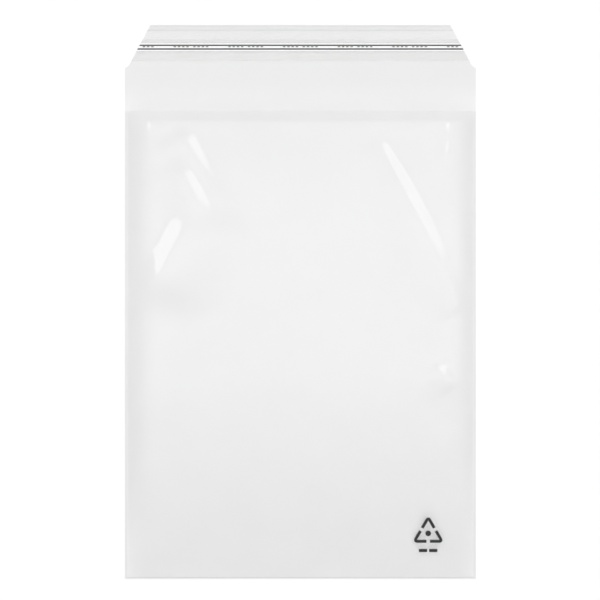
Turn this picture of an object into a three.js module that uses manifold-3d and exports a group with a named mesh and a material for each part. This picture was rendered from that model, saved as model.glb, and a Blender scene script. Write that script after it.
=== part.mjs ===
// Clear film mailing bag, empty, lying on its back with its mouth and its closure flap towards +Y.
// One sheet of polyethylene film is folded at the bottom, welded along both sides and left open at the mouth.
// The back panel runs on past the mouth as the flap, which carries an adhesive strip under a release liner.
// Millimetres, +Z up. The origin is on the table, under the middle of the bag's whole width and length.
import * as THREE from "three";
import { mergeVertices } from "three/addons/utils/BufferGeometryUtils.js";
import Module from "manifold-3d";

// Film sheet
const FILM = 0.07; // gauge of the film
const BAG_WIDTH = 240; // across both side welds
const POCKET_DEPTH = 320; // from the bottom fold to the mouth
const WELD_WIDTH = 2; // fused strip along each side
const FOLD_WIDTH = 1; // strip at the bottom where the folded film lies on itself

// Closure flap
const FLAP_BASE = 30; // full-width length from the mouth to the shoulders
const FLAP_TAPER = 29; // tapered length from the shoulders to the top edge
const FLAP_TOP_WIDTH = 205;
const SHOULDER_STEP = 2; // step in the outline where each side weld's trim ends
const SHOULDER_FILLET = 1.6;

// Adhesive strip and release liner on the flap
const LINER_WIDTH = 21.2;
const LINER_TOP_MARGIN = 3.3; // bare flap above the liner
const LINER_GAUGE = 0.05;
const FINGER_LIFT = 6.4; // dry upper edge of the liner
const ADHESIVE_EDGE = 0.4; // dry lower edge of the liner
const ADHESIVE_DEPTH = 0.1;

// Air in the pocket
const PUFF = 7.2; // height of the front panel over the back panel
const SIDE_REACH = 20; // width of the rounded shoulder along each side weld
const FOLD_REACH = 140; // length of the slope down to the bottom fold
const LIP_REACH = 13; // length over which the front panel dips to the mouth
const LIP_DIP = 1.9; // dip of the front panel at the mouth

// Soft creases in the front panel. Each is a ridge from one point to another, given as inset from a side edge
// and distance below the mouth. Side is -1 for the left edge and +1 for the right one. Its steep flank faces
// the mouth, with a width at each end and a slope, and its other flank is gentle.
const CREASES = [
  { side: 1, from: [78, 9], to: [4, 131], widths: [8, 12], slope: 0.125 },
  { side: -1, from: [42, 17], to: [56, 48], widths: [7, 7.5], slope: 0.163 },
  { side: -1, from: [35, 37], to: [56, 71], widths: [7, 7], slope: 0.175 },
  { side: -1, from: [54, 64], to: [16, 131], widths: [13, 9], slope: 0.13 },
  { side: 1, from: [26.6, 177], to: [14.4, 184], widths: [6, 6], slope: 0.133 },
];
const CREASE_FADE = 0.3; // share of a crease's length over which each end fades out
const CREASE_ROUNDING = 0.25; // share of a flank's width that is rounded at its top and at its foot
const GENTLE_FLANK = 3; // width of the gentle flank, in widths of the steep one

// Facets of the front panel
const GRID_PITCH = 7;
const SHOULDER_STEPS = 4;
const SHOULDER_GROWTH = 1.5; // how fast the facets widen away from a weld
const FILLET_SEGMENTS = 4;

// Places along the bag
const LENGTH = POCKET_DEPTH + FLAP_BASE + FLAP_TAPER;
const Y_FOLD = -LENGTH / 2;
const Y_MOUTH = Y_FOLD + POCKET_DEPTH;
const Y_SHOULDER = Y_MOUTH + FLAP_BASE;
const Y_TOP = Y_SHOULDER + FLAP_TAPER;
const HALF_WIDTH = BAG_WIDTH / 2;
const FLAP_ROOT_HALF = HALF_WIDTH - SHOULDER_STEP;

const wasm = await Module();
wasm.setup();

// A closed geometry as a solid that can be joined to others.
function solidOf(geometry) {
  const bare = geometry.clone();
  bare.deleteAttribute("normal");
  bare.deleteAttribute("uv");
  const merged = mergeVertices(bare);
  const vertProperties = new Float32Array(merged.attributes.position.array);
  const triVerts = new Uint32Array(merged.index.array);
  return new wasm.Manifold(new wasm.Mesh({ numProp: 3, vertProperties, triVerts }));
}

// A solid as a geometry with flat facets.
function geometryOf(solid) {
  const { numProp, vertProperties, triVerts } = solid.getMesh();
  const geometry = new THREE.BufferGeometry();
  const points = new THREE.InterleavedBuffer(vertProperties, numProp);
  geometry.setAttribute("position", new THREE.InterleavedBufferAttribute(points, 3, 0));
  geometry.setIndex(new THREE.BufferAttribute(triVerts, 1));
  const faceted = geometry.toNonIndexed();
  faceted.computeVertexNormals();
  return faceted;
}

// Rises from 0 to 1 over a reach, steep at first and level at the end, like film lifting off a weld.
function shoulder(distance, reach) {
  const share = THREE.MathUtils.clamp(distance / reach, 0, 1);
  return 1 - (1 - share) ** 2;
}

// Falls from 1 to 0 at an even slope, rounded at both ends.
function flank(share) {
  const level = 1 - CREASE_ROUNDING;
  if (share >= 1) return 0;
  if (share > level) return (1 - share) ** 2 / (2 * CREASE_ROUNDING * level);
  if (share > CREASE_ROUNDING) return 1 - (share - CREASE_ROUNDING / 2) / level;
  return 1 - share ** 2 / (2 * CREASE_ROUNDING * level);
}

// A point on the front panel, from its inset from one side edge and its distance below the mouth.
function panelPoint(side, [inset, down]) {
  return new THREE.Vector2(side * (HALF_WIDTH - inset), Y_MOUTH - down);
}

// Height that one crease adds at a point: a ridge that fades out at both ends.
function creaseHeight({ side, from, to, widths, slope }, x, y) {
  const start = panelPoint(side, from);
  const along = panelPoint(side, to).sub(start);
  const length = along.length();
  along.normalize();
  const offset = new THREE.Vector2(x, y).sub(start);
  const run = THREE.MathUtils.clamp(offset.dot(along) / length, 0, 1);
  const width = THREE.MathUtils.lerp(...widths, run);
  const upward = -offset.cross(along) * Math.sign(along.x);
  const across = upward > 0 ? upward / width : -upward / (GENTLE_FLANK * width);
  const fadeIn = THREE.MathUtils.smoothstep(run, 0, CREASE_FADE);
  const fadeOut = THREE.MathUtils.smoothstep(1 - run, 0, CREASE_FADE);
  const height = slope * width * (1 - CREASE_ROUNDING);
  return height * fadeIn * fadeOut * flank(across);
}

// Clear gap between the two panels. It is negative where they are fused.
function gapAt(x, y) {
  const fromWeld = HALF_WIDTH - Math.abs(x) - WELD_WIDTH;
  const fromFold = y - Y_FOLD - FOLD_WIDTH;
  if (fromWeld <= 0 || fromFold <= 0) return -FILM / 2;
  const dip = LIP_DIP * (1 - Math.min((Y_MOUTH - y) / LIP_REACH, 1)) ** 2;
  const creases = CREASES.reduce((sum, crease) => sum + creaseHeight(crease, x, y), 0);
  return (PUFF - dip + creases) * shoulder(fromWeld, SIDE_REACH) * shoulder(fromFold, FOLD_REACH);
}

// Grid lines across a span, close together over the curve at each end and evenly spaced between.
function gridLines(low, high, lowSteps, highSteps) {
  const start = low + lowSteps.at(-1);
  const room = high - highSteps.at(-1) - start;
  const count = Math.max(1, Math.round(room / GRID_PITCH));
  const between = Array.from({ length: count - 1 }, (_, i) => start + ((i + 1) * room) / count);
  const lowLines = lowSteps.map((step) => low + step);
  const highLines = highSteps.map((step) => high - step).reverse();
  return [...lowLines, ...between, ...highLines];
}

// Distances from an edge: the fused strip, then steps that widen over the curve.
function edgeSteps(fused, reach) {
  const steps = Array.from({ length: SHOULDER_STEPS }, (_, i) => (i + 1) / SHOULDER_STEPS);
  return [0, fused, ...steps.map((share) => fused + reach * share ** SHOULDER_GROWTH)];
}

// A closed solid of even gauge over a grid, with its underside at the given height.
// Both faces are split along the same diagonals, so the film keeps its gauge where it twists.
function sheetOver(columns, rows, undersideAt, gauge) {
  const width = columns.length;
  const layerSize = width * rows.length;
  const positions = [];
  for (const lift of [0, gauge]) {
    for (const y of rows) {
      for (const x of columns) {
        positions.push(x, y, undersideAt(x, y) + lift);
      }
    }
  }
  const index = [];
  // One panel of four corners, seen anticlockwise from outside.
  const panel = (a, b, c, d) => index.push(a, b, c, a, c, d);
  for (let j = 0; j + 1 < rows.length; j++) {
    for (let i = 0; i + 1 < width; i++) {
      const a = j * width + i;
      const b = a + 1;
      const c = b + width;
      const d = a + width;
      panel(a + layerSize, b + layerSize, c + layerSize, d + layerSize);
      index.push(a, c, b, a, d, c);
    }
  }
  // A wall along one edge, whose grid points run anticlockwise seen from above.
  const wall = (edge) => {
    for (let k = 0; k + 1 < edge.length; k++) {
      panel(edge[k], edge[k + 1], edge[k + 1] + layerSize, edge[k] + layerSize);
    }
  };
  const across = columns.map((_, i) => i);
  const along = rows.map((_, j) => j * width);
  wall(across);
  wall(along.map((start) => start + width - 1));
  wall(across.map((i) => i + layerSize - width).reverse());
  wall(along.toReversed());
  const sheet = new THREE.BufferGeometry();
  sheet.setAttribute("position", new THREE.Float32BufferAttribute(positions, 3));
  sheet.setIndex(index);
  return sheet;
}

// The front panel, over the gap and fused to the back panel along its edges.
function frontPanel() {
  const sideSteps = edgeSteps(WELD_WIDTH, SIDE_REACH);
  const columns = gridLines(-HALF_WIDTH, HALF_WIDTH, sideSteps, sideSteps);
  const rows = gridLines(Y_FOLD, Y_MOUTH, [0, FOLD_WIDTH], [0, LIP_REACH / 3, LIP_REACH]);
  return sheetOver(columns, rows, (x, y) => FILM + gapAt(x, y), FILM);
}

// Half the flap's width at a height along its taper.
function flapHalfWidth(y) {
  return THREE.MathUtils.mapLinear(y, Y_SHOULDER, Y_TOP, FLAP_ROOT_HALF, FLAP_TOP_WIDTH / 2);
}

// The back panel and the flap in one outline, with a filleted step at each shoulder.
function backPanel() {
  const outline = new THREE.Shape();
  const filletTop = Y_SHOULDER + SHOULDER_FILLET;
  const filletSide = FLAP_ROOT_HALF + Math.min(SHOULDER_FILLET, SHOULDER_STEP / 2);
  outline.moveTo(-HALF_WIDTH, Y_FOLD);
  outline.lineTo(HALF_WIDTH, Y_FOLD);
  outline.lineTo(HALF_WIDTH, Y_SHOULDER);
  outline.lineTo(filletSide, Y_SHOULDER);
  outline.quadraticCurveTo(FLAP_ROOT_HALF, Y_SHOULDER, flapHalfWidth(filletTop), filletTop);
  outline.lineTo(FLAP_TOP_WIDTH / 2, Y_TOP);
  outline.lineTo(-FLAP_TOP_WIDTH / 2, Y_TOP);
  outline.lineTo(-flapHalfWidth(filletTop), filletTop);
  outline.quadraticCurveTo(-FLAP_ROOT_HALF, Y_SHOULDER, -filletSide, Y_SHOULDER);
  outline.lineTo(-HALF_WIDTH, Y_SHOULDER);
  outline.closePath();
  const settings = { depth: FILM, bevelEnabled: false, curveSegments: FILLET_SEGMENTS };
  return new THREE.ExtrudeGeometry(outline, settings);
}

// A flat strip across the flap, cut off along the flap's slanted sides.
function flapStrip(low, high, depth) {
  const outline = new THREE.Shape();
  outline.moveTo(-flapHalfWidth(low), low);
  outline.lineTo(flapHalfWidth(low), low);
  outline.lineTo(flapHalfWidth(high), high);
  outline.lineTo(-flapHalfWidth(high), high);
  outline.closePath();
  return new THREE.ExtrudeGeometry(outline, { depth, bevelEnabled: false });
}

function named(name, geometry, material) {
  const mesh = new THREE.Mesh(geometry, material);
  mesh.name = name;
  return mesh;
}

function bagFilm() {
  const material = new THREE.MeshStandardMaterial({
    color: 0xe9ebec,
    roughness: 0.2,
    metalness: 0,
    transparent: true,
    opacity: 0.4,
  });
  return named("bag_film", geometryOf(solidOf(backPanel()).add(solidOf(frontPanel()))), material);
}

const Y_LINER_TOP = Y_TOP - LINER_TOP_MARGIN;
const Y_LINER_LOW = Y_LINER_TOP - LINER_WIDTH;

function adhesiveStrip() {
  const material = new THREE.MeshStandardMaterial({
    color: 0xd9d9d6,
    roughness: 0.45,
    metalness: 0,
    transparent: true,
    opacity: 0.5,
  });
  const strip = flapStrip(Y_LINER_LOW + ADHESIVE_EDGE, Y_LINER_TOP - FINGER_LIFT, ADHESIVE_DEPTH);
  const mesh = named("adhesive_strip", strip, material);
  mesh.position.z = FILM;
  return mesh;
}

function releaseLiner() {
  const material = new THREE.MeshStandardMaterial({ color: 0xf2f2f2, roughness: 0.35, metalness: 0 });
  const mesh = named("release_liner", flapStrip(Y_LINER_LOW, Y_LINER_TOP, LINER_GAUGE), material);
  mesh.position.z = FILM + ADHESIVE_DEPTH;
  return mesh;
}

const bag = new THREE.Group();
bag.add(bagFilm(), adhesiveStrip(), releaseLiner());

export default bag;
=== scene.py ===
import math

import bpy
import numpy as np
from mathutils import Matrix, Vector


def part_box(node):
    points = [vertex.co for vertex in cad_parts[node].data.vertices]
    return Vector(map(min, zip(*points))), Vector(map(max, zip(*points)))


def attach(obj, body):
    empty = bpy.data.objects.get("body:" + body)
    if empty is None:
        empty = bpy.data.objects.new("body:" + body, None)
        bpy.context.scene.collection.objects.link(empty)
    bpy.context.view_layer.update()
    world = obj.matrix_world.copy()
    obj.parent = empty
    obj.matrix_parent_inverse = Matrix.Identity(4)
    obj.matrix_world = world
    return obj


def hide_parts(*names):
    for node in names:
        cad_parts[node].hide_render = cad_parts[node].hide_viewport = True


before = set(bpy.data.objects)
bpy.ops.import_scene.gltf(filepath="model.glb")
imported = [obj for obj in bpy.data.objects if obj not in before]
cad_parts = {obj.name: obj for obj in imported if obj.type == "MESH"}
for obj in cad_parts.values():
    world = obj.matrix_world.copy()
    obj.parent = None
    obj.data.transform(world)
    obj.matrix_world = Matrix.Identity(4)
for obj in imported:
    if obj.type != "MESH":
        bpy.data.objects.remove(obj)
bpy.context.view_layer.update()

MM = 0.001

# Film sheet, in millimetres, as in the solids
FILM = 0.07
WELD_WIDTH = 2.0
FOLD_WIDTH = 1.0
POCKET_DEPTH = 320.0
FLAP_BASE = 30.0
FLAP_TOP_WIDTH = 205.0
SHOULDER_STEP = 2.0
SHOULDER_FILLET = 1.6

# Places along the bag, from the film's own solid
FILM_LOW, FILM_HIGH = [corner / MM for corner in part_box("bag_film")]
HALF_WIDTH = FILM_HIGH.x
Y_FOLD = FILM_LOW.y
Y_TOP = FILM_HIGH.y
Y_MOUTH = Y_FOLD + POCKET_DEPTH
Y_SHOULDER = Y_MOUTH + FLAP_BASE
FLAP_TAPER = Y_TOP - Y_SHOULDER

# Air in the pocket
PUFF = 7.2
SIDE_REACH = 20.0
FOLD_REACH = 140.0
LIP_REACH = 13.0
LIP_DIP = 1.9

# Soft creases in the front panel, near those of the solids, with ends and slopes set by the photo's glints.
# Each has its side, two ends as inset from that side and distance below the mouth, widths of the steep flank
# at its start, middle and end, its slopes at start and end, and how far in from its ends it fades. The steep
# flank faces the bag's top, and the other one is gentle.
CREASES = [
    (1, (69, 18), (9, 139), (5, 12, 7), (0.132, 0.09), 8),
    (-1, (36, 11), (69, 71), (10, 10, 6), (0.18, 0.05), 12),
    (-1, (31, 31), (57, 74), (8, 10, 7), (0.21, 0.18), 17),
    (-1, (55, 57), (14, 139), (20, 17, 7), (0.2, 0.19), 29),
    (1, (33, 171), (12, 191), (3, 8, 3), (0.148, 0.148), 9),
    (1, (27, 27), (15, 30), (3, 6, 3), (0.07, 0.07), 4),
]
CREASE_ROUNDING = 0.25
GENTLE_FLANK = 3.0

# Curl of the free flap
FLAP_CURL = 0.2
FLAP_WAVE = 0.08
FLAP_WAVE_LENGTH = 160.0
FLAP_WAVE_PHASE = 0.6

# Mesh pitch of the film, finer where it bends
PITCH_WELD = 0.5
PITCH_SHOULDER = 1.1
PITCH_CREASE = 1.6
PITCH_CALM = 3.6
CREASED_DEPTH = 195.0
CALM_HALF_WIDTH = 44.0
FILLET_ROWS = (0.02, 0.15, 0.35, 0.6, 1.0)
LINE_SLACK = 0.1

# Strips across the flap: columns, fine rows along each cut edge, and the share of those rows that gets painted
# shade
STRIP_COLUMNS = 140
EDGE_ROWS = 1.2
PAINTED_EDGE_SHARE = (0.25, 0.75)

# Film looks: how much of the light that does not pass through is mirrored, on the flap and on the pocket, the
# pocket's higher share being painted sheen, and where the film is hazy and painted darker
MIRROR = (0.56, 0.84)
# Painted light: a brighter mirror on the flap just above the mouth, against the shade of the pocket's front
# edge
MOUTH_PAINTED_LIGHT = 0.6
MOUTH_PAINTED_LIGHT_REACH = 22.0
# Haze with painted shade: each amount makes the film hazier and darkens its mirror, a painted dark line along
# the welds, the bottom fold and just below the flap's top edge, and a darker bare margin
WELD_HAZE_AND_SHADE = 0.12
FOLD_HAZE_AND_SHADE = 0.25
FLAP_MARGIN = 3.5
MARGIN_HAZE_AND_SHADE = 0.1
# Place and half width of the painted dark line just below the flap's top edge
CUT_LINE = 0.75
CUT_LINE_HALF = 0.3
CUT_HAZE_AND_SHADE = 0.33
# Share of its colour that a piece keeps where its haze field is full, as painted shade
PAINTED_SHADE_FACTOR = 0.2
FILM_ROUGHNESS = (0.07, 0.11)
FILM_MOTTLE = 0.02
EDGE_ON_POWER = 3.0
RIPPLE_STRENGTH = 0.1
RIPPLE_HEIGHT = 0.0004

# Noise: the span in which most of its values lie, sizes of its pattern by piece, and stretches along the axes
NOISE_SPAN = (0.3, 0.7)
MOTTLE_SCALE = 40
RIPPLE_SCALE = 18
RIPPLE_STRETCH = (1, 0.4, 1)
STREAK_SCALE = 60
STREAK_STRETCH = (0.1, 4, 1)
SPECK_SCALE = 900
FLOOR_SCALE = 4
STREAK_TINT = 0.03
STREAK_ALPHA = 0.05
FLOOR_TINT = 0.003
UNEVEN_SHEEN = 0.2

# Print on the liner, as distances from the bottom fold
INK = 0.004
STRIPE = (361.12, 366.56)
LINES = ((364.66, 365.58), (362.08, 363.06))
DASH_ROW = 364.1
DASH_HEIGHT = 0.6
DASH_LENGTH = 1.7
DASH_GAP = 1.2
WORD_GAP = 3.0
DASHES_PER_WORD = 4
GROUP_PITCH = 37.4

# Mark on the front panel: a triangle of three bent bars, a dot in it and two bars below it
MARK_CENTRE = (87.3, 31.6)
MARK_RADIUS = 10.9
MARK_CORNER = 2.2
MARK_STROKE = 2.0
MARK_GAP = 2.4
MARK_DOT = 1.9
MARK_LABEL_ROW = 19.8
MARK_LABEL_BAR = (5.6, 2.1)
MARK_LABEL_GAP = 1.4
MARK_BEND_POINTS = 9
MARK_ARM_POINTS = 7
BAR_POINTS = 7
DOT_POINTS = 17
DOT_TIP = 0.05

# Camera
PHOTO_SIZE = 600
MM_PER_PIXEL = 240 / 350.9
PHOTO_CENTRE = (-0.24, 1.44)
CAMERA_HEIGHT = 1500.0
SENSOR = 36.0

# Light: brightness of the studio by direction. The walls go by the direction's own parts. The overhead bank and
# the lamps go by its slopes from the vertical: the bank is a profile along Y that fades into the room to both
# sides, and two round lamps make the glints on the creases.
SIDE_WALLS = (0.74, 0.87)
SIDE_WALL_EDGE = 0.5
END_WALLS = 2.38
END_WALL_EDGE = (0.6, 0.8)
END_WALL_FOOT = (0.28, 0.48)
BANK_PROFILE = (
    (-0.30, 0.78), (-0.10, 1.12), (-0.02, 1.35), (0.03, 1.43),
    (0.09, 1.27), (0.28, 1.13), (0.42, 0.75), (0.80, 0.68),
)
BANK_CENTRE = 0.24
BANK_HALF_WIDTH = (0.15, 1.7)
LAMPS = ((0.25, 0.2), (-0.45, 0.22))
LAMP = 1.85
LAMP_RADIUS = (0.085, 0.12)
HORIZON = 0.05
TRANSPARENT_BOUNCES = 32

# Floor, its half side in metres
FLOOR = (0.9, 0.9, 0.9)
FLOOR_ROUGHNESS = 0.6
FLOOR_GAP = 0.06
FLOOR_HALF = 8.0


def shoulder(distance, reach):
    """Rises from 0 to 1 over a reach, steep at first and level at the end."""
    return 1 - (1 - np.clip(distance / reach, 0, 1)) ** 2


def ease(share):
    """Rises from 0 to 1, level at both ends."""
    share = np.clip(share, 0, 1)
    return share * share * (3 - 2 * share)


def flank(share):
    """Falls from 1 to 0 at an even slope, rounded at both ends."""
    share = np.clip(share, 0, 1)
    fall = np.where(share < CREASE_ROUNDING, share**2 / (2 * CREASE_ROUNDING), share - CREASE_ROUNDING / 2)
    end = 1 - CREASE_ROUNDING - (1 - share) ** 2 / (2 * CREASE_ROUNDING)
    return 1 - np.where(share > 1 - CREASE_ROUNDING, end, fall) / (1 - CREASE_ROUNDING)


def crease_height(crease, x, y):
    """Height that one crease adds: a ridge with a steep and a gentle flank, which fades out at both ends."""
    side, start, end, widths, slopes, fade = crease
    first, last = (np.array([side * (HALF_WIDTH - inset), Y_MOUTH - down]) for inset, down in (start, end))
    length = np.linalg.norm(last - first)
    along = (last - first) / length
    upward = np.array([-along[1], along[0]])
    upward *= np.sign(upward[1])
    run = np.clip(((x - first[0]) * along[0] + (y - first[1]) * along[1]) / length, 0, 1)
    middle = np.sin(math.pi * run)
    width = (widths[0] + (widths[2] - widths[0]) * run) * (1 - middle) + widths[1] * middle
    across = (x - first[0]) * upward[0] + (y - first[1]) * upward[1]
    across = np.where(across > 0, across, -across / GENTLE_FLANK) / width
    height = (slopes[0] + (slopes[1] - slopes[0]) * run) * width * (1 - CREASE_ROUNDING)
    return height * ease(run * length / fade) * ease((1 - run) * length / fade) * flank(across)


def gap_at(x, y):
    """Clear gap between the two panels of the pocket."""
    dip = LIP_DIP * (1 - np.clip((Y_MOUTH - y) / LIP_REACH, 0, 1)) ** 2
    creases = sum(crease_height(crease, x, y) for crease in CREASES)
    side = shoulder(HALF_WIDTH - np.abs(x) - WELD_WIDTH, SIDE_REACH)
    fold = shoulder(y - Y_FOLD - FOLD_WIDTH, FOLD_REACH)
    return (PUFF - dip + creases) * side * fold


def front_top(x, y):
    """Height of the front panel's outer face."""
    return 2 * FILM + gap_at(x, y)


def flap_lift(x, y):
    """How far the free flap curls up from the table."""
    share = np.clip((y - Y_MOUTH) / (Y_TOP - Y_MOUTH), 0, 1)
    wave = FLAP_WAVE * np.cos(2 * math.pi * x / FLAP_WAVE_LENGTH + FLAP_WAVE_PHASE)
    return share**2 * (FLAP_CURL + wave)


def flap_half_width(y):
    """Half the flap's width at a height along it, with a rounded step at the shoulders."""
    if y <= Y_SHOULDER:
        return HALF_WIDTH
    root = HALF_WIDTH - SHOULDER_STEP
    taper = root + (FLAP_TOP_WIDTH / 2 - root) * (y - Y_SHOULDER) / FLAP_TAPER
    fillet = max(0.0, 1 - (y - Y_SHOULDER) / SHOULDER_FILLET)
    return taper + fillet**2 * SHOULDER_STEP / 2


def lines(*spans):
    """Grid lines along joined spans, each given as its start, its end and its pitch."""
    marks = [np.array([spans[0][0]])]
    for start, end, pitch in spans:
        count = max(1, round((end - start) / pitch))
        marks.append(start + (end - start) * np.arange(1, count + 1) / count)
    return np.concatenate(marks)


class Builder:
    """Collects the points and faces of one mesh, in millimetres."""

    def __init__(self):
        self.points = []
        self.faces = []

    def add(self, x, y, z):
        """Adds a block of points and returns their numbers in the same shape."""
        x, y, z = np.broadcast_arrays(x, y, z)
        first = len(self.points)
        self.points.extend(np.stack([x, y, z], -1).reshape(-1, 3).tolist())
        return np.arange(first, first + x.size).reshape(x.shape)

    def patch(self, grid, flip=False):
        """Quads over a grid of point numbers, whose rows run up and whose columns run right."""
        corners = [grid[:-1, :-1], grid[:-1, 1:], grid[1:, 1:], grid[1:, :-1]]
        quads = np.stack(corners, -1).reshape(-1, 4)
        self.faces.extend((quads[:, ::-1] if flip else quads).tolist())

    def wall(self, low, high):
        """Quads between two rows of point numbers, facing the right hand of their run."""
        self.patch(np.stack([low, high]))

    def slab(self, x, y, under, over):
        """A closed thin solid between two heights over a grid of places."""
        low = self.add(x, y, under)
        high = self.add(x, y, over)
        self.patch(high)
        self.patch(low, flip=True)
        self.wall(low[0], high[0])
        self.wall(high[-1], low[-1])
        self.wall(low[:, -1], high[:, -1])
        self.wall(high[:, 0], low[:, 0])

    def piece(self, name, material, sharp=30, **fields):
        """The mesh as an object in metres, without unused points, with named values on its points."""
        used, places = np.unique(np.array(self.faces), return_inverse=True)
        points = np.array(self.points)[used]
        mesh = bpy.data.meshes.new(name)
        mesh.from_pydata((points * MM).tolist(), [], places.reshape(-1, 4).tolist())
        for field, value_at in fields.items():
            attribute = mesh.attributes.new(field, "FLOAT", "POINT")
            attribute.data.foreach_set("value", value_at(points[:, 0], points[:, 1]))
        mesh.polygons.foreach_set("use_smooth", [True] * len(mesh.polygons))
        mesh.set_sharp_from_angle(angle=math.radians(sharp))
        mesh.materials.append(material)
        made = bpy.data.objects.new(name, mesh)
        bpy.context.scene.collection.objects.link(made)
        return made


def film_haze(x, y):
    """Where the film is hazier and painted darker: along the welds, the bottom fold, a line just below the
    flap's top edge and the bare margin at that edge.
    """
    weld = (np.abs(x) > HALF_WIDTH - WELD_WIDTH + LINE_SLACK) & (y < Y_MOUTH)
    fold = np.abs(y - Y_FOLD - FOLD_WIDTH) < PITCH_WELD / 2
    margin = y > Y_TOP - FLAP_MARGIN + LINE_SLACK
    cut = np.abs(y - Y_TOP + CUT_LINE) < CUT_LINE_HALF
    return np.select([fold, weld, cut, margin], [FOLD_HAZE_AND_SHADE, WELD_HAZE_AND_SHADE, CUT_HAZE_AND_SHADE, MARGIN_HAZE_AND_SHADE], 0.0)


def film_painted_sheen(x, y):
    """Painted sheen: full over the pocket inside its welds, and as painted light fading out above the mouth,
    where the pocket's edge shades the flap.
    """
    pocket = np.abs(x) < HALF_WIDTH - WELD_WIDTH + LINE_SLACK
    pocket &= (y > Y_FOLD + FOLD_WIDTH + LINE_SLACK) & (y < Y_MOUTH + LINE_SLACK)
    painted_mouth_light = MOUTH_PAINTED_LIGHT * ease(1 - (y - Y_MOUTH) / MOUTH_PAINTED_LIGHT_REACH) * (y > Y_MOUTH)
    return np.where(pocket, 1.0, painted_mouth_light)


def film_columns():
    """Grid lines across the whole bag."""
    edge = HALF_WIDTH - WELD_WIDTH
    flank_start = edge - SIDE_REACH
    return lines(
        (-HALF_WIDTH, -edge, PITCH_WELD),
        (-edge, -flank_start, PITCH_SHOULDER),
        (-flank_start, -CALM_HALF_WIDTH, PITCH_CREASE),
        (-CALM_HALF_WIDTH, CALM_HALF_WIDTH, PITCH_CALM),
        (CALM_HALF_WIDTH, flank_start, PITCH_CREASE),
        (flank_start, edge, PITCH_SHOULDER),
        (edge, HALF_WIDTH, PITCH_WELD),
    )


def pocket_rows():
    """Grid lines from the bottom fold to the mouth."""
    return lines(
        (Y_FOLD, Y_FOLD + 2 * FOLD_WIDTH, PITCH_WELD),
        (Y_FOLD + 2 * FOLD_WIDTH, Y_MOUTH - CREASED_DEPTH, PITCH_CALM),
        (Y_MOUTH - CREASED_DEPTH, Y_MOUTH - LIP_REACH, PITCH_CREASE),
        (Y_MOUTH - LIP_REACH, Y_MOUTH, PITCH_SHOULDER),
    )


def flap_rows():
    """Grid lines from the mouth to the flap's top edge."""
    fillet = np.array(FILLET_ROWS) * SHOULDER_FILLET
    base = lines(
        (Y_MOUTH, Y_MOUTH + PITCH_WELD, PITCH_WELD),
        (Y_MOUTH + PITCH_WELD, Y_SHOULDER, PITCH_CALM),
    )
    taper = lines(
        (Y_SHOULDER + SHOULDER_FILLET, Y_TOP - FLAP_MARGIN, PITCH_CALM),
        (Y_TOP - FLAP_MARGIN, Y_TOP, PITCH_WELD),
    )[1:]
    return np.concatenate([base, Y_SHOULDER + fillet, taper])


def film_bag(material):
    """The folded and welded sheet as one closed film: front, back, pocket lining and flap."""
    columns, rows, upper_rows = film_columns(), pocket_rows(), flap_rows()
    weld = round(WELD_WIDTH / PITCH_WELD)
    fold = round(FOLD_WIDTH / PITCH_WELD)
    inner = slice(weld, len(columns) - weld)
    x, y = np.meshgrid(columns, rows)
    gap = gap_at(x, y)
    stretch = np.array([flap_half_width(row) for row in upper_rows]) / HALF_WIDTH
    flap_x = columns[None, :] * stretch[:, None]
    flap_y = np.broadcast_to(upper_rows[:, None], flap_x.shape)
    lift = flap_lift(flap_x, flap_y)

    film = Builder()
    front = film.add(x, y, 2 * FILM + gap)
    back = film.add(x, y, 0.0)
    flap_under = np.concatenate([back[-1:], film.add(flap_x[1:], flap_y[1:], lift[1:])])
    flap_over = film.add(flap_x, flap_y, FILM + lift)
    seam = film.add(x, y, FILM)
    seam[-1] = flap_over[0]
    floor = film.add(x[fold:, inner], y[fold:, inner], FILM)
    floor[-1] = flap_over[0, inner]
    ceiling = film.add(x[fold:, inner], y[fold:, inner], FILM + gap[fold:, inner])
    ceiling[0], ceiling[:, 0], ceiling[:, -1] = floor[0], floor[:, 0], floor[:, -1]

    film.patch(front)
    film.patch(back, flip=True)
    film.patch(flap_over)
    film.patch(flap_under, flip=True)
    film.patch(floor)
    film.patch(ceiling, flip=True)
    for under, over in ((back, seam), (seam, front)):
        film.wall(under[0], over[0])
        film.wall(under[:, -1], over[:, -1])
        film.wall(over[:, 0], under[:, 0])
    film.wall(flap_under[:, -1], flap_over[:, -1])
    film.wall(flap_over[:, 0], flap_under[:, 0])
    film.wall(flap_over[-1], flap_under[-1])
    film.wall(front[-1, inner], ceiling[-1])
    for weld_end in (slice(0, weld + 1), slice(len(columns) - weld - 1, None)):
        film.wall(front[-1, weld_end], flap_over[0, weld_end])
    return film.piece("film_bag", material, haze=film_haze, sheen=film_painted_sheen)


def painted_edge_shade(low, high):
    """Where a strip of the flap gets painted shade: along its two long edges."""
    shaded_to, shaded_from = low + PAINTED_EDGE_SHARE[0] * EDGE_ROWS, high - PAINTED_EDGE_SHARE[1] * EDGE_ROWS
    return lambda x, y: np.where((y < shaded_to) | (y > shaded_from), 1.0, 0.0)


def flap_strip(builder, low, high, base, gauge):
    """A strip across the flap, following its curl, cut off along its slanted sides."""
    across = np.linspace(-1, 1, STRIP_COLUMNS)
    edge = min(EDGE_ROWS, (high - low) / 3)
    y = lines(
        (low, low + edge, edge / 2),
        (low + edge, high - edge, PITCH_CALM),
        (high - edge, high, edge / 2),
    )
    half = np.array([flap_half_width(row) for row in y])
    x = across[None, :] * half[:, None]
    y = np.broadcast_to(y[:, None], x.shape)
    under = flap_lift(x, y) + base
    builder.slab(x, y, under, under + gauge)


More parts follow.
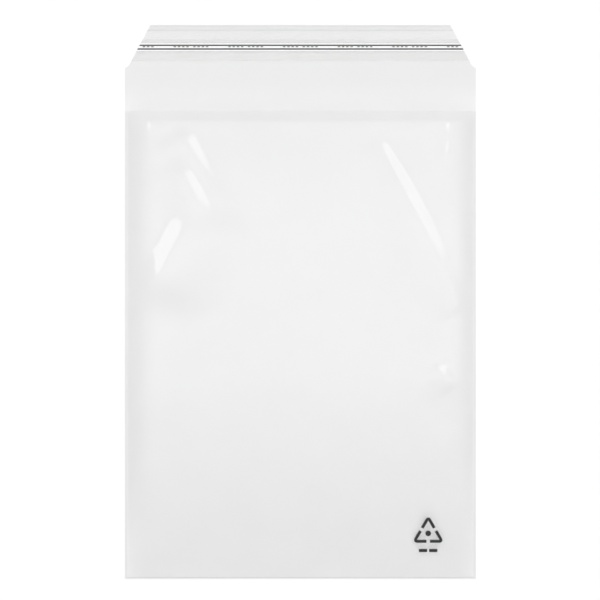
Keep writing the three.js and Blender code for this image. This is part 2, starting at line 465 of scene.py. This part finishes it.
def ribbon(builder, path, width, surface):
    """A flat band of ink along a path, lying on a surface given as a height function."""
    path = np.array(path, float)
    step = np.gradient(path, axis=0)
    step /= np.linalg.norm(step, axis=1, keepdims=True)
    offset = np.linspace(-0.5, 0.5, 3)[:, None] * width
    x = path[None, :, 0] - offset * step[None, :, 1]
    y = path[None, :, 1] + offset * step[None, :, 0]
    under = surface(x, y) + INK
    builder.slab(x, y, under, under + INK)


def bar(builder, centre, size, surface):
    """A short straight bar of ink across the bag."""
    x = np.linspace(centre[0] - size[0] / 2, centre[0] + size[0] / 2, BAR_POINTS)
    ribbon(builder, np.stack([x, np.full_like(x, centre[1])], -1), size[1], surface)


def dot(builder, centre, radius, surface):
    """A round spot of ink."""
    turn = np.linspace(DOT_TIP, math.pi - DOT_TIP, DOT_POINTS)
    path = np.stack([centre[0] - radius * np.cos(turn), np.full_like(turn, centre[1])], -1)
    ribbon(builder, path, 2 * radius * np.sin(turn), surface)


def liner_print(material, surface):
    """Two lines across the liner, and between them groups of dashes in place of small print."""
    ink = Builder()
    for low, high in LINES:
        flap_strip(ink, Y_FOLD + low, Y_FOLD + high, surface(0, Y_MOUTH) + INK, INK)
    row = Y_FOLD + DASH_ROW
    word = DASHES_PER_WORD * (DASH_LENGTH + DASH_GAP) - DASH_GAP
    reach = flap_half_width(row) - DASH_LENGTH
    groups = math.ceil(reach / GROUP_PITCH)
    for group in range(-groups, groups + 1):
        for side in (-1, 1):
            start = group * GROUP_PITCH + side * (word + WORD_GAP) / 2 - (word - DASH_LENGTH) / 2
            for dash in range(DASHES_PER_WORD):
                x = start + dash * (DASH_LENGTH + DASH_GAP)
                if abs(x) < reach:
                    bar(ink, (x, row), (DASH_LENGTH, DASH_HEIGHT), surface)
    return ink.piece("liner_print", material)


def mark(material):
    """A small sign near the bottom corner: three bent bars round a triangle, and plain bars for its words."""
    ink = Builder()
    centre = np.array([MARK_CENTRE[0], Y_FOLD + MARK_CENTRE[1]])
    corners = [
        centre + MARK_RADIUS * np.array([math.sin(turn), math.cos(turn)])
        for turn in (2 * math.pi * k / 3 for k in range(3))
    ]
    for k, corner in enumerate(corners):
        arms = [corners[k - 1] - corner, corners[(k + 1) % 3] - corner]
        lengths = [np.linalg.norm(arm) for arm in arms]
        ends = [corner + arm / length * (length - MARK_GAP) / 2 for arm, length in zip(arms, lengths)]
        bends = [corner + arm / length * MARK_CORNER for arm, length in zip(arms, lengths)]
        share = np.linspace(0, 1, MARK_BEND_POINTS)[:, None]
        curve = (1 - share) ** 2 * bends[0] + 2 * share * (1 - share) * corner + share**2 * bends[1]
        straight = np.linspace(0, 1, MARK_ARM_POINTS)[:-1, None]
        into = ends[0] + (bends[0] - ends[0]) * straight
        out = ends[1] + (bends[1] - ends[1]) * straight[::-1]
        ribbon(ink, np.concatenate([into, curve, out]), MARK_STROKE, front_top)
    dot(ink, centre, MARK_DOT, front_top)
    for side in (-1, 1):
        x = centre[0] + side * (MARK_LABEL_BAR[0] + MARK_LABEL_GAP) / 2
        bar(ink, (x, Y_FOLD + MARK_LABEL_ROW), MARK_LABEL_BAR, front_top)
    return ink.piece("mark", material)


class Sums:
    """Short forms for the arithmetic nodes of one node tree."""

    def __init__(self, tree):
        self.nodes = tree.nodes
        self.links = tree.links

    def put(self, socket, value):
        """Sets a socket to a number, or links it to another node's output."""
        if isinstance(value, (int, float)):
            socket.default_value = value
        else:
            self.links.new(value, socket)

    def math(self, operation, *values):
        """The result of one arithmetic step."""
        node = self.nodes.new("ShaderNodeMath")
        node.operation = operation
        for socket, value in zip(node.inputs, values):
            self.put(socket, value)
        return node.outputs[0]

    def ramp(self, value, start, end, low=0.0, high=1.0, smooth=True):
        """A value that goes from low to high while another goes from start to end."""
        node = self.nodes.new("ShaderNodeMapRange")
        node.interpolation_type = "SMOOTHSTEP" if smooth else "LINEAR"
        for name, number in (("From Min", start), ("From Max", end), ("To Min", low), ("To Max", high)):
            node.inputs[name].default_value = number
        self.put(node.inputs["Value"], value)
        return node.outputs["Result"]


def grain(sums, scale, stretch=(1, 1, 1), detail=2.0):
    """Noise fixed to the piece, stretched along its axes, from 0 to 1 and mostly near a half."""
    place = sums.nodes.new("ShaderNodeTexCoord")
    spread = sums.nodes.new("ShaderNodeMapping")
    spread.inputs["Scale"].default_value = stretch
    noise = sums.nodes.new("ShaderNodeTexNoise")
    noise.inputs["Scale"].default_value = scale
    noise.inputs["Detail"].default_value = detail
    sums.links.new(place.outputs["Object"], spread.inputs["Vector"])
    sums.links.new(spread.outputs["Vector"], noise.inputs["Vector"])
    return noise.outputs["Fac"]


def principled(name, **sockets):
    """A material with one Principled shader, its constant sockets set, and the sums of its node tree."""
    material = bpy.data.materials.new(name)
    material.use_nodes = True
    shader = material.node_tree.nodes["Principled BSDF"]
    for socket, value in sockets.items():
        shader.inputs[socket.replace("_", " ")].default_value = value
    return material, shader, Sums(material.node_tree)


def vary(sums, noise, middle, spread):
    """A value that drifts round its middle with a noise."""
    return sums.ramp(noise, *NOISE_SPAN, middle * (1 - spread), middle * (1 + spread))


def shades(sums, noise, color, spread):
    """A colour that drifts round a grey or a tint with a noise."""
    tint = sums.nodes.new("ShaderNodeMix")
    tint.data_type = "RGBA"
    dark, light = ([min(1.0, channel * scale) for channel in color] for scale in (1 - spread, 1 + spread))
    tint.inputs["A"].default_value = (*dark, 1)
    tint.inputs["B"].default_value = (*light, 1)
    sums.links.new(sums.ramp(noise, *NOISE_SPAN), tint.inputs["Factor"])
    return tint.outputs["Result"]


def field(sums, name):
    """A value kept on the mesh's points."""
    attribute = sums.nodes.new("ShaderNodeAttribute")
    attribute.attribute_name = name
    return attribute.outputs["Fac"]


def haze_shade(sums):
    """Painted shade: how much darker a piece is where its haze field is set."""
    return sums.ramp(field(sums, "haze"), 0, 1, 1.0, PAINTED_SHADE_FACTOR, smooth=False)


def film_material(name, clear, edge_on, hazy):
    """Clear film: mostly see-through face on, more of a mirror edge on, hazier and painted darker where it is
    welded, folded or cut, and mirroring as much as its painted sheen field sets.
    """
    material, shader, sums = principled(name, Metallic=1.0)
    mottle = grain(sums, MOTTLE_SCALE)
    # Mirror share from the painted sheen field, darkened by the painted shade of the haze field
    mirror = sums.ramp(field(sums, "sheen"), 0, 1, *MIRROR, smooth=False)
    mirror = sums.math("MULTIPLY", mirror, vary(sums, mottle, 1.0, FILM_MOTTLE))
    mirror = sums.math("MULTIPLY", mirror, haze_shade(sums))
    sums.links.new(mirror, shader.inputs["Base Color"])
    sums.links.new(sums.ramp(mottle, *NOISE_SPAN, *FILM_ROUGHNESS), shader.inputs["Roughness"])
    facing = sums.nodes.new("ShaderNodeLayerWeight")
    facing.inputs["Blend"].default_value = 0.5
    steep = sums.math("POWER", facing.outputs["Facing"], EDGE_ON_POWER)
    alpha = sums.ramp(steep, 0, 1, clear, edge_on, smooth=False)
    alpha = sums.math("MULTIPLY_ADD", field(sums, "haze"), hazy, alpha)
    sums.links.new(alpha, shader.inputs["Alpha"])
    bump = sums.nodes.new("ShaderNodeBump")
    bump.inputs["Strength"].default_value = RIPPLE_STRENGTH
    bump.inputs["Distance"].default_value = RIPPLE_HEIGHT
    sums.links.new(grain(sums, RIPPLE_SCALE, RIPPLE_STRETCH), bump.inputs["Height"])
    sums.links.new(bump.outputs["Normal"], shader.inputs["Normal"])
    return material


def strip_material(name, color, roughness, alpha, edge):
    """A thin strip along the flap, with fine streaks along its length, darker and less clear where its haze
    field is set, as painted shade.
    """
    material, shader, sums = principled(name)
    streaks = grain(sums, STREAK_SCALE, STREAK_STRETCH)
    tint = shades(sums, streaks, color, STREAK_TINT)
    shade = sums.nodes.new("ShaderNodeVectorMath")
    shade.operation = "SCALE"
    sums.links.new(tint, shade.inputs["Vector"])
    sums.links.new(haze_shade(sums), shade.inputs["Scale"])
    sums.links.new(shade.outputs["Vector"], shader.inputs["Base Color"])
    sums.links.new(vary(sums, streaks, roughness, UNEVEN_SHEEN), shader.inputs["Roughness"])
    streaky = vary(sums, streaks, alpha, STREAK_ALPHA)
    sums.links.new(sums.math("MULTIPLY_ADD", field(sums, "haze"), edge, streaky), shader.inputs["Alpha"])
    return material


def ink_material(name, color, spread, roughness):
    """Opaque print, slightly uneven in tone and sheen."""
    material, shader, sums = principled(name)
    specks = grain(sums, SPECK_SCALE)
    sums.links.new(shades(sums, specks, color, spread), shader.inputs["Base Color"])
    sums.links.new(vary(sums, specks, roughness, UNEVEN_SHEEN), shader.inputs["Roughness"])
    return material


def dress(piece, slot, *nodes):
    """Fixes a piece to the bag's one body and hides the solids that it stands for."""
    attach(piece, "root")
    if nodes:
        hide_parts(*nodes)
    return piece


def make_floor():
    """A wide pale floor, just under the bag."""
    corners = [(FLOOR_HALF * x, FLOOR_HALF * y, 0) for x, y in ((-1, -1), (1, -1), (1, 1), (-1, 1))]
    mesh = bpy.data.meshes.new("floor")
    mesh.from_pydata(corners, [], [(0, 1, 2, 3)])
    material, shader, sums = principled("pale_floor", Roughness=FLOOR_ROUGHNESS)
    sums.links.new(shades(sums, grain(sums, FLOOR_SCALE), FLOOR, FLOOR_TINT), shader.inputs["Base Color"])
    mesh.materials.append(material)
    floor = bpy.data.objects.new("floor", mesh)
    floor.location.z = -FLOOR_GAP * MM
    bpy.context.scene.collection.objects.link(floor)


def make_camera():
    """A camera that looks straight down, framed as the photo is."""
    data = bpy.data.cameras.new("camera")
    data.sensor_width = SENSOR
    data.lens = SENSOR * CAMERA_HEIGHT / (PHOTO_SIZE * MM_PER_PIXEL)
    camera = bpy.data.objects.new("camera", data)
    camera.location = (PHOTO_CENTRE[0] * MM, PHOTO_CENTRE[1] * MM, CAMERA_HEIGHT * MM)
    bpy.context.scene.collection.objects.link(camera)
    bpy.context.scene.camera = camera


def profile(sums, value, stops):
    """A smooth curve through stops, each a place and a value."""
    curve = stops[0][1]
    for (start, before), (end, after) in zip(stops, stops[1:]):
        if before != after:
            curve = sums.math("ADD", curve, sums.ramp(value, start, end, high=after - before))
    return curve


def mix(sums, first, second, share):
    """The first value where the share is 0, and the second where it is 1."""
    return sums.math("MULTIPLY_ADD", sums.math("SUBTRACT", second, first), share, first)


def make_world():
    """A pale room, brighter beyond the bag's two ends, with a soft bank of light and two lamps overhead."""
    world = bpy.data.worlds.new("studio")
    world.use_nodes = True
    bpy.context.scene.world = world
    sums = Sums(world.node_tree)
    direction = sums.nodes.new("ShaderNodeTexCoord")
    split = sums.nodes.new("ShaderNodeSeparateXYZ")
    sums.links.new(direction.outputs["Generated"], split.inputs[0])
    up = sums.math("MAXIMUM", split.outputs["Z"], HORIZON)
    across = sums.math("DIVIDE", split.outputs["X"], up)
    forward = sums.math("DIVIDE", split.outputs["Y"], up)
    sideways = sums.math("ABSOLUTE", sums.math("SUBTRACT", across, BANK_CENTRE))
    sides = sums.ramp(split.outputs["X"], -SIDE_WALL_EDGE, SIDE_WALL_EDGE, *SIDE_WALLS)
    ends = sums.ramp(sums.math("ABSOLUTE", split.outputs["Y"]), *END_WALL_EDGE, high=END_WALLS)
    foot = sums.ramp(split.outputs["Z"], *END_WALL_FOOT)
    bank_share = sums.ramp(sideways, *BANK_HALF_WIDTH, low=1.0, high=0.0)
    light = mix(sums, sides, profile(sums, forward, BANK_PROFILE), bank_share)
    light = sums.math("MULTIPLY_ADD", ends, foot, light)
    for lamp_across, lamp_forward in LAMPS:
        off_across = sums.math("SUBTRACT", across, lamp_across)
        off_forward = sums.math("SUBTRACT", forward, lamp_forward)
        square_forward = sums.math("MULTIPLY", off_forward, off_forward)
        squares = sums.math("MULTIPLY_ADD", off_across, off_across, square_forward)
        lamp_share = sums.ramp(sums.math("SQRT", squares), *LAMP_RADIUS, low=1.0, high=0.0)
        light = mix(sums, light, LAMP, lamp_share)
    sums.links.new(light, sums.nodes["Background"].inputs["Strength"])
    sums.nodes["Background"].inputs["Color"].default_value = (1, 1, 1, 1)


make_floor()
make_camera()
make_world()

film = film_material("clear_film", clear=0.0818, edge_on=0.45, hazy=0.1)
bag = dress(film_bag(film), "clear_film", "bag_film")

adhesive_low, adhesive_high = [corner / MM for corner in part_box("adhesive_strip")]
adhesive = Builder()
adhesive_depth = adhesive_high.z - adhesive_low.z - 2 * INK
flap_strip(adhesive, adhesive_low.y, adhesive_high.y, adhesive_low.z + INK, adhesive_depth)
adhesive_material = strip_material("adhesive", color=(0.75, 0.75, 0.74), roughness=0.4, alpha=0.06, edge=0.0)
dress(adhesive.piece("adhesive", adhesive_material), "adhesive", "adhesive_strip")

liner_low, liner_high = [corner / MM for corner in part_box("release_liner")]
liner = Builder()
flap_strip(liner, liner_low.y, liner_high.y, liner_low.z, liner_high.z - liner_low.z)
liner_material = strip_material("liner", color=(0.92, 0.92, 0.92), roughness=0.3, alpha=0.02, edge=0.027)
# Painted shade along the liner's two long cut edges
liner_painted_edges = painted_edge_shade(liner_low.y, liner_high.y)
dress(liner.piece("liner", liner_material, haze=liner_painted_edges), "liner", "release_liner")


def liner_top(x, y):
    """Height of the liner's upper face."""
    return flap_lift(x, y) + liner_high.z


stripe = Builder()
flap_strip(stripe, Y_FOLD + STRIPE[0], Y_FOLD + STRIPE[1], liner_high.z + INK, INK)
white = ink_material("white_print", color=(0.865, 0.865, 0.865), spread=0.03, roughness=0.5)
dress(stripe.piece("liner_stripe", white), "liner")
black = ink_material("black_print", color=(0.01, 0.01, 0.01), spread=0.3, roughness=0.4)
dress(liner_print(black, lambda x, y: liner_top(x, y) + 2 * INK), "liner")
dress(mark(black), "clear_film")

scene = bpy.context.scene
scene.view_settings.view_transform = "Standard"
scene.cycles.transparent_max_bounces = TRANSPARENT_BOUNCES
